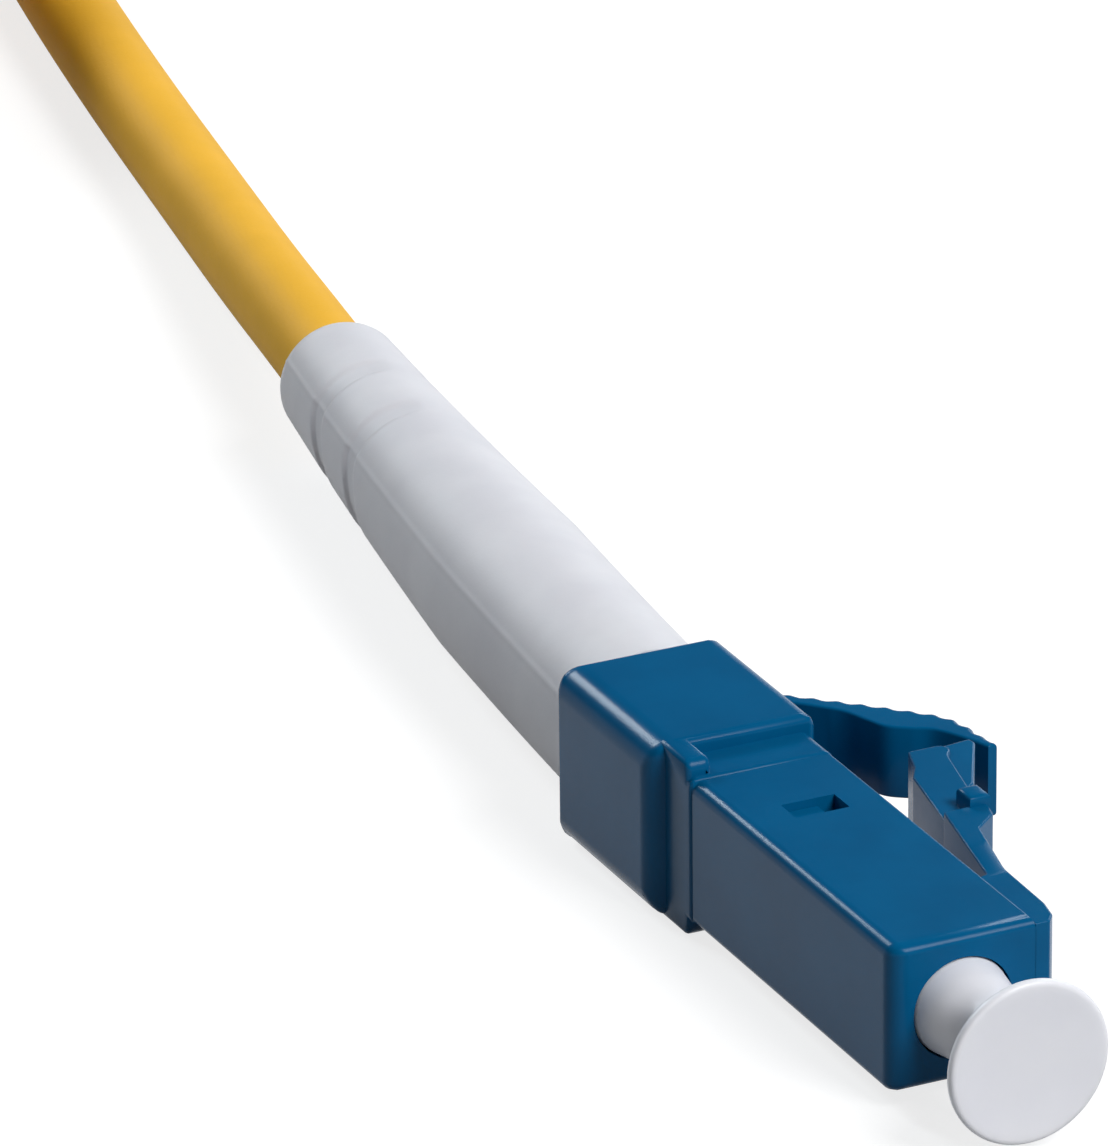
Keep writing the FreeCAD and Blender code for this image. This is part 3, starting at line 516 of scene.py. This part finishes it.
def hank_strap(name, along, side):
    """A flat band round the runs on one side of the hank, closed on itself on top, in millimetres."""
    wide, gap, wall = 5.0, 0.06, 0.34
    low, high = TIE_WALL * 1000 - gap, (TIE_WALL + HANK_LAYERS * CABLE) * 1000 + gap
    near, far = (HANK_FOLD - CABLE) * 1000 - gap, (HANK_FOLD + CABLE) * 1000 + gap
    if side < 0:
        near, far = -far, -near
    outer = block((along, near - wall, low - wall), (along + wide, far + wall, high + wall))
    bm = eased(outer, [(0.6, lambda p, w: along_x(w))])
    inner = block((along - 1.0, near, low), (along + wide + 1.0, far, high))
    bm = combined(bm, eased(inner, [(0.4, lambda p, w: along_x(w))]), "DIFFERENCE")
    flap = block((along + 0.15, near + 0.4, high + wall - 0.02),
                 (along + wide - 0.15, near + 4.6, high + wall + 0.06))
    bm = combined(bm, eased(flap, [(0.05, lambda p, w: p.z > high + wall)], 2), "UNION")
    bm.transform(Matrix.Translation((hank_middle - NOSE) * 1000))
    return finished(bm, name, loop_band, "connector", (name.replace("_strap", ""),))


ties = [hank_strap("hank_tie_1_strap", 4.0, 1), hank_strap("hank_tie_2_strap", -9.0, -1)]


# ---------------------------------------------------------------- plug and latch

def plug_block():
    """The square plug with its rounded nose, its mouth and the two snap windows."""
    bm = block((-PLUG_END, -PLUG_HALF, -PLUG_HALF), (0, PLUG_HALF, PLUG_HALF))
    bm = eased(bm, [
        (0.44, lambda p, w: p.x > -0.01 and p.z > 2.2),
        (0.55, lambda p, w: p.x > -0.01 and p.y < -2.2),
        (0.4, lambda p, w: p.x > -0.01 and p.z < -2.2),
        (0.4, lambda p, w: along_x(w) and p.y < 0 and p.z > 0),
        (0.15, lambda p, w: along_x(w) and p.y > 0 and p.z > 0),
        (0.24, lambda p, w: along_x(w)),
        (0.05, lambda p, w: p.x < -PLUG_END + 0.01),
    ])
    tenon = block((-TENON_END, -TENON_HALF, -TENON_HALF), (-12.3, TENON_HALF, TENON_HALF))
    bm = combined(bm, tenon, "UNION")
    bore = turned([(1.0, 0.0), (1.0, 1.55), (-5.2, 1.55), (-5.2, 1.03),
                   (-6.2, 1.03), (-6.2, 1.65), (-16.0, 1.65), (-16.0, 0.0)], 72)
    bm = combined(bm, bore, "DIFFERENCE")
    window = prism([(-8.9, -0.7), (-8.9, 1.0), (-9.87, 1.0), (-9.87, -0.7)], 3.0)
    return combined(bm, window, "DIFFERENCE")


def latch_body():
    """Root ridge, sprung strip, shouldered block with catching lugs and ramped fin, all one moulding."""
    strip_half, head_half, fin_half, lug_half = 2.1, 1.85, 1.76, 2.4
    strip = cornered([
        (0.0, 2.24, 0), (0.0, 2.68, 0.12), (-0.35, 2.95, 0.2), (-1.1, 3.1, 0.6), (-3.6, 3.16, 2.0),
        (-6.3, 3.8, 0.2), (-6.98, 4.593, 0.2), (-7.7, 4.75, 0.1), (-7.7, 3.37, 0.1), (-3.5, 2.54, 0.12),
        (-3.4, 2.24, 0)])
    bm = eased(prism(strip, strip_half), [(0.06, lambda p, w: on_flank(p, strip_half) and p.y > 2.3)], 3)
    head = cornered([
        (-7.2, 3.6, 0), (-7.2, 4.56, 0), (-11.6, 5.55, 0.8), (-12.33, 6.15, 0.3), (-12.3, 4.62, 0.1),
        (-11.3, 4.31, 0.15), (-10.68, 3.94, 0.3), (-7.66, 3.37, 0)])
    head = eased(prism(head, head_half), [(0.06, lambda p, w: on_flank(p, head_half) and p.x < -7.3)], 3)
    bm = combined(bm, head, "UNION")
    fin = cornered([
        (-9.3, 4.6, 0), (-9.45, 5.1, 0), (-9.75, 5.42, 0.25), (-12.2, 6.75, 0.15), (-12.5, 6.7, 0.1),
        (-12.25, 4.8, 0)])
    fin = eased(prism(fin, fin_half), [(0.07, lambda p, w: on_flank(p, fin_half) and p.y > 5.0)], 3)
    bm = combined(bm, fin, "UNION")
    for side in (1, -1):
        low, high = sorted((side * 1.3, side * lug_half))
        lug = block((-8.42, 4.16, low), (-7.58, 4.84, high))
        bm = combined(bm, eased(lug, [(0.14, lambda p, w: on_flank(p, lug_half))], 3), "UNION")
    # Cuts across the strip give it enough points to bend smoothly.
    for k in range(9):
        everything = list(bm.verts) + list(bm.edges) + list(bm.faces)
        bmesh.ops.bisect_plane(bm, geom=everything, plane_co=(-3.25 - 0.28 * k, 0, 0), plane_no=(1, 0, 0))
    return bm


finished(plug_block(), "plug_housing", blue_pbt, "connector", ("front_housing",))
latch = finished(latch_body(), "latch_moulding", blue_pbt, None, ("latch_arm",))
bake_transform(latch)


# ---------------------------------------------------------------- rear housing and trigger

def rear_shell():
    """The rear housing: a rounded shell behind a square neck, with a guide rail on each of the neck's corners
    away from the latch."""
    bm = block((-REAR_END, -2.8, -2.8), (-NECK_END, 2.55, 2.8))
    bm = eased(bm, [
        (0.92, lambda p, w: along_x(w) and p.y < 0),
        (0.5, lambda p, w: along_x(w)),
        (0.75, lambda p, w: p.x > -NECK_END - 0.01 and p.y < -2.7),
        (0.28, lambda p, w: p.x > -NECK_END - 0.01),
        (0.3, lambda p, w: p.x < -REAR_END + 0.01),
    ], 5)
    neck_half, rail_half, rail_end = 2.3, 2.78, 12.65
    neck = eased(block((-NECK_END - 0.5, -neck_half, -neck_half), (-PLUG_END, neck_half, neck_half)), [
        (0.3, lambda p, w: along_x(w)),
        (0.12, lambda p, w: p.x > -PLUG_END - 0.01),
    ], 3)
    bm = combined(bm, neck, "UNION")
    for side in (1, -1):
        low, high = sorted((side * 2.0, side * rail_half))
        rail = eased(block((-NECK_END - 0.4, -neck_half, low), (-rail_end, -1.5, high)), [
            (0.35, lambda p, w: p.x > -rail_end - 0.01 and on_flank(p, rail_half)),
            (0.18, lambda p, w: along_x(w) and on_flank(p, rail_half)),
            (0.2, lambda p, w: p.x > -rail_end - 0.01),
        ], 3)
        bm = combined(bm, rail, "UNION")
    socket_half = TENON_HALF + TENON_GAP
    socket = block((-TENON_END - TENON_GAP, -socket_half, -socket_half), (-12.0, socket_half, socket_half))
    bm = combined(bm, socket, "DIFFERENCE")
    bore = turned([(-15.4, 0.0), (-15.4, 1.93), (-16.15, 1.93), (-16.15, 2.35), (-21.0, 2.35), (-21.0, 0.0)])
    return combined(bm, bore, "DIFFERENCE")


def trigger_arm():
    """The sprung trigger: thin at its root, thick at its bend, with soft finger ribs along its outer side."""
    half = 1.15
    outer = through([(-20.02, 2.92), (-19.3, 3.74), (-18.2, 4.9), (-17.2, 5.93), (-16.45, 6.66),
                     (-15.75, 7.3), (-15.2, 7.62), (-14.3, 7.82), (-12.98, 7.88)], 12)
    ribbed = []
    run = 0.0
    for before, point, after in zip(outer, outer[1:], outer[2:]):
        run += (point - before).length
        heading = (after - before).normalized()
        outward = Vector((-heading.y, heading.x))
        inside_ribs = stepped(run, [(0.7, 0.0), (1.5, 1.0), (8.3, 1.0), (8.7, 0.0)])
        ribbed.append(point - outward * -0.11 * inside_ribs * (math.sin(run * math.tau / 0.74) - 1) / 2)
    inner = through([(-12.98, 7.6), (-13.9, 7.25), (-14.75, 6.75), (-15.15, 6.15), (-15.6, 5.6), (-16.3, 5.3),
                     (-17.2, 4.92), (-18.3, 3.95), (-19.28, 3.0)], 6)
    side = ([Vector((-20.35, 2.5)), Vector((-20.33, 2.58))] + [outer[0]] + ribbed + [outer[-1]]
            + inner + [Vector((-19.0, 2.62)), Vector((-18.85, 2.5))])

    def outside(p):
        """Whether a point is on the trigger's outer side."""
        spot = Vector((p.x, p.y))
        return min((spot - q).length for q in ribbed) < min((spot - q).length for q in inner)

    return eased(prism([tuple(p) for p in side], half), [
        (0.19, lambda p, w: on_flank(p, half) and p.y > 3.2 and p.x < -13.2 and outside(p)),
        (0.08, lambda p, w: on_flank(p, half) and p.y > 2.6),
    ], 3)


finished(rear_shell(), "rear_housing_shell", blue_pbt, "connector", ("rear_housing",))
lever = finished(trigger_arm(), "trigger_lever", blue_pbt, None, ("trigger",))
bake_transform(lever)


# ---------------------------------------------------------------- dust cap and boot

def cap_form():
    """The dust cap: a stem that narrows to a waist and flares into a thin, slightly dished disc."""
    flare = through([(0.0, 1.475), (0.7, 1.36), (1.45, 1.18), (2.2, 1.2), (2.75, 1.48), (3.2, 1.95),
                     (3.5, 2.26)], 5)
    rings = [(-2.2, 0.655), (-2.2, 1.4), (-2.1, 1.445), (-0.6, 1.5), (-0.1, 1.5)]
    rings += [tuple(p) for p in flare]
    rings += [(3.58, 2.37), (3.68, 2.44), (3.78, 2.46), (3.86, 2.455), (3.92, 2.42), (3.95, 2.36),
              (3.95, 2.28), (3.935, 2.1), (3.91, 1.8), (3.88, 1.3), (3.865, 0.7), (3.86, 0.0)]
    bm = turned(rings, 96)
    stem_end = [e for e in bm.edges if e.is_boundary]
    bmesh.ops.contextual_create(bm, geom=stem_end)
    bmesh.ops.recalc_face_normals(bm, faces=bm.faces)
    hole = turned([(-3.0, 0.0), (-3.0, 0.655), (2.85, 0.655), (2.9, 0.5), (2.9, 0.0)], 48)
    return combined(bm, hole, "DIFFERENCE")


BOOT_LENGTH = 29.4
# The middles of the two grooves, from the boot's rear end, and their depth.
GROOVES = (4.55, 8.4)
GROOVE_DEPTH = 0.11
# The boot's middle line leaves the plug's axis by a + b s + c s squared at s behind its front end.
BOOT_BEND = (0.2, 0.078, 0.0012)


def boot_relief(s, inset, below):
    """How far the boot's skin stands proud: a fine parting line, less the grooves. s is measured back from
    the front end, and inset round the boot from the parting line. Below the line the grooves lean forward."""
    ridge = 0.022 * math.exp(-(inset / 0.09) ** 2) if s < BOOT_LENGTH - 0.3 else 0.0
    forward = stepped(inset, [(0.0, 0.0), (1.5, 0.75)]) if below else 0.0
    ends = stepped(inset, [(2.0, 1.0), (2.9, 0.0)])
    walls = [stepped(abs((BOOT_LENGTH - s) - centre - forward), [(0.36, 1.0), (0.7, 0.0)])
             for centre in GROOVES]
    return ridge - GROOVE_DEPTH * (max(walls) * ends)


def boot_form():
    """The strain relief: a long bent taper with a fine parting line and shallow bend-relief grooves."""
    # The front stretch that keeps its diameter, that diameter, and what the taper behind it takes off.
    straight, wide, taper = 11.65, 5.47, 1.41
    bore, front_bore = 1.6, 2.35
    lip, lip_fall = 0.42, 0.38

    def radius(s):
        """The boot's radius at s behind its front end."""
        return (wide - taper * max(0.0, s - straight) / (BOOT_LENGTH - straight)) / 2

    coarse = [k * 0.9 for k in range(20)]
    fine = [17.2 + 0.08 * k for k in range(148)]
    rings = [(-s, radius(s)) for s in coarse + [s for s in fine if s < BOOT_LENGTH - lip]]
    for k in range(7):
        turn = math.radians(15 * k)
        rings.append((-(BOOT_LENGTH - lip + lip * math.sin(turn)),
                      radius(BOOT_LENGTH) - lip_fall * (1 - math.cos(turn))))
    rings += [(-BOOT_LENGTH + 0.02, bore + 0.02), (-BOOT_LENGTH + 0.3, bore), (-20.0, bore), (-11.0, bore),
              (-2.6, front_bore), (-0.02, front_bore), rings[0]]
    bm = turned(rings, 240)
    # The parting line's angle from the upper flank towards the side away from the latch.
    line = math.radians(61.5)
    offset, slope_start, bend = BOOT_BEND
    for v in bm.verts:
        s = -v.co.x
        across = math.hypot(v.co.y, v.co.z)
        if across > 1.7:
            past_line = (math.atan2(-v.co.y, v.co.z) - line + math.pi) % math.tau - math.pi
            # The boot has two parting lines, opposite each other, and the nearer one counts.
            inset = min(abs(past_line), math.pi - abs(past_line)) * across
            scale = 1 + boot_relief(s, inset, past_line > 0) / across
            v.co.y *= scale
            v.co.z *= scale
        # Each ring is turned square to the bent middle line, little by little behind the front end.
        slope = slope_start + 2 * bend * s
        lean = 1 / math.hypot(1, slope)
        y = v.co.y
        v.co.y = offset + slope_start * s + bend * s ** 2 + y * lean
        v.co.x = -(REAR_END + s) + y * slope * lean * min(s / 3, 1.0)
    return bm


finished(cap_form(), "dust_cap_moulding", white_pe, "cap", ("dust_cap",), sharp=50)
finished(boot_form(), "boot_sleeve", white_tpe, "connector", ("boot",), sharp=60)


# ---------------------------------------------------------------- floor, light and camera

FLOOR_HALF = 1.5

# Matt white paper: it holds the soft shadow and looks white wherever it is lit.
white_paper = bpy.data.materials.new("matt_white_paper")
white_paper.use_nodes = True
tree = white_paper.node_tree
plain = tree.nodes["Principled BSDF"]
plain.inputs["Base Color"].default_value = paint("#989898")
plain.inputs["Roughness"].default_value = 0.9
plain.inputs["Specular IOR Level"].default_value = 0.1
rays = add(tree, "LightPath")
seen = add(tree, "Math", {"operation": "MAXIMUM"},
           {0: rays.outputs["Is Camera Ray"], 1: rays.outputs["Is Glossy Ray"]})
seen = add(tree, "Math", {"operation": "MAXIMUM"},
           {0: seen.outputs[0], 1: rays.outputs["Is Transmission Ray"]})
glow = add(tree, "Emission", {"Color": (1, 1, 1, 1), "Strength": 0.78})
both = add(tree, "AddShader", {}, {0: plain.outputs[0], 1: glow.outputs[0]})
mixed = add(tree, "MixShader", {}, {0: seen.outputs[0], 1: plain.outputs[0], 2: both.outputs[0]})
tree.links.new(mixed.outputs[0], tree.nodes["Material Output"].inputs["Surface"])
paper = bmesh.new()
bmesh.ops.create_grid(paper, x_segments=1, y_segments=1, size=FLOOR_HALF)
floor = as_object(paper, "paper_floor")
floor.data.materials.append(white_paper)

# The studio: a dim room above a low white backdrop, which the camera, glossy and clear surfaces see as white.
world = bpy.data.worlds.new("studio")
bpy.context.scene.world = world
world.use_nodes = True
tree = world.node_tree
rays = add(tree, "LightPath")
seen = add(tree, "Math", {"operation": "MAXIMUM"},
           {0: rays.outputs["Is Camera Ray"], 1: rays.outputs["Is Transmission Ray"]})
sky = add(tree, "SeparateXYZ", {}, {"Vector": add(tree, "TexCoord").outputs["Generated"]})
wall = add(tree, "MapRange", {"From Min": 0.05, "From Max": 0.2, "To Min": 1.0, "To Max": 0.05},
           {"Value": sky.outputs["Z"]})
room = add(tree, "Mix", {"data_type": "FLOAT", 2: 0.08},
           {0: rays.outputs["Is Glossy Ray"], 3: wall.outputs["Result"]})
level = add(tree, "Math", {"operation": "MAXIMUM"}, {0: seen.outputs[0], 1: room.outputs[0]})
tree.links.new(level.outputs[0], tree.nodes["Background"].inputs["Strength"])
tree.nodes["Background"].inputs["Color"].default_value = (1, 1, 1, 1)


def softbox(name, place, across, power, colour=(1.0, 1.0, 1.0), long_side=(0, 0, 1)):
    """A panel of light that faces the connector. across gives its two sides, and long_side the way that the
    second one runs."""
    lamp = bpy.data.lights.new(name, "AREA")
    lamp.shape = "RECTANGLE"
    lamp.size, lamp.size_y = across
    lamp.energy = power
    lamp.color = colour
    made = bpy.data.objects.new(name, lamp)
    bpy.context.scene.collection.objects.link(made)
    away = Vector(place).normalized()
    side = Vector(long_side).cross(away).normalized()
    turn = Matrix((side, away.cross(side), away)).transposed()
    made.matrix_world = Matrix.Translation(place) @ turn.to_4x4()


softbox("key_light", (0.50, 0.23, 0.58), (0.38, 0.38), 6.6)
softbox("back_light", (-0.45, 0.55, 0.30), (0.40, 0.14), 1.3, (0.84, 0.94, 1.0))
softbox("rim_light", (-0.66, -0.17, 0.38), (0.12, 0.2), 2.5, (0.86, 0.95, 1.0), (0, 0.7, 0.7))

# A long lens from about 0.3 m off, rolled a little.
camera = bpy.data.cameras.new("camera")
camera.sensor_width = 36.0
camera.lens = 314.13613
camera.clip_start = 0.01
camera.clip_end = 20.0
viewer = bpy.data.objects.new("camera", camera)
bpy.context.scene.collection.objects.link(viewer)
azimuth, elevation, roll = math.radians(64.738), math.radians(23.401), math.radians(-0.628)
back = Vector((math.sin(azimuth) * math.cos(elevation), -math.cos(azimuth) * math.cos(elevation),
               math.sin(elevation)))
level_right = Vector((math.cos(azimuth), math.sin(azimuth), 0))
level_up = back.cross(level_right)
right = math.cos(roll) * level_right + math.sin(roll) * level_up
upward = back.cross(right)
facing = Matrix((right, upward, back)).transposed().to_4x4()
viewer.matrix_world = Matrix.Translation((0.24361, -0.11891, 0.12385)) @ facing
bpy.context.scene.camera = viewer
bpy.context.scene.view_settings.view_transform = "Standard"
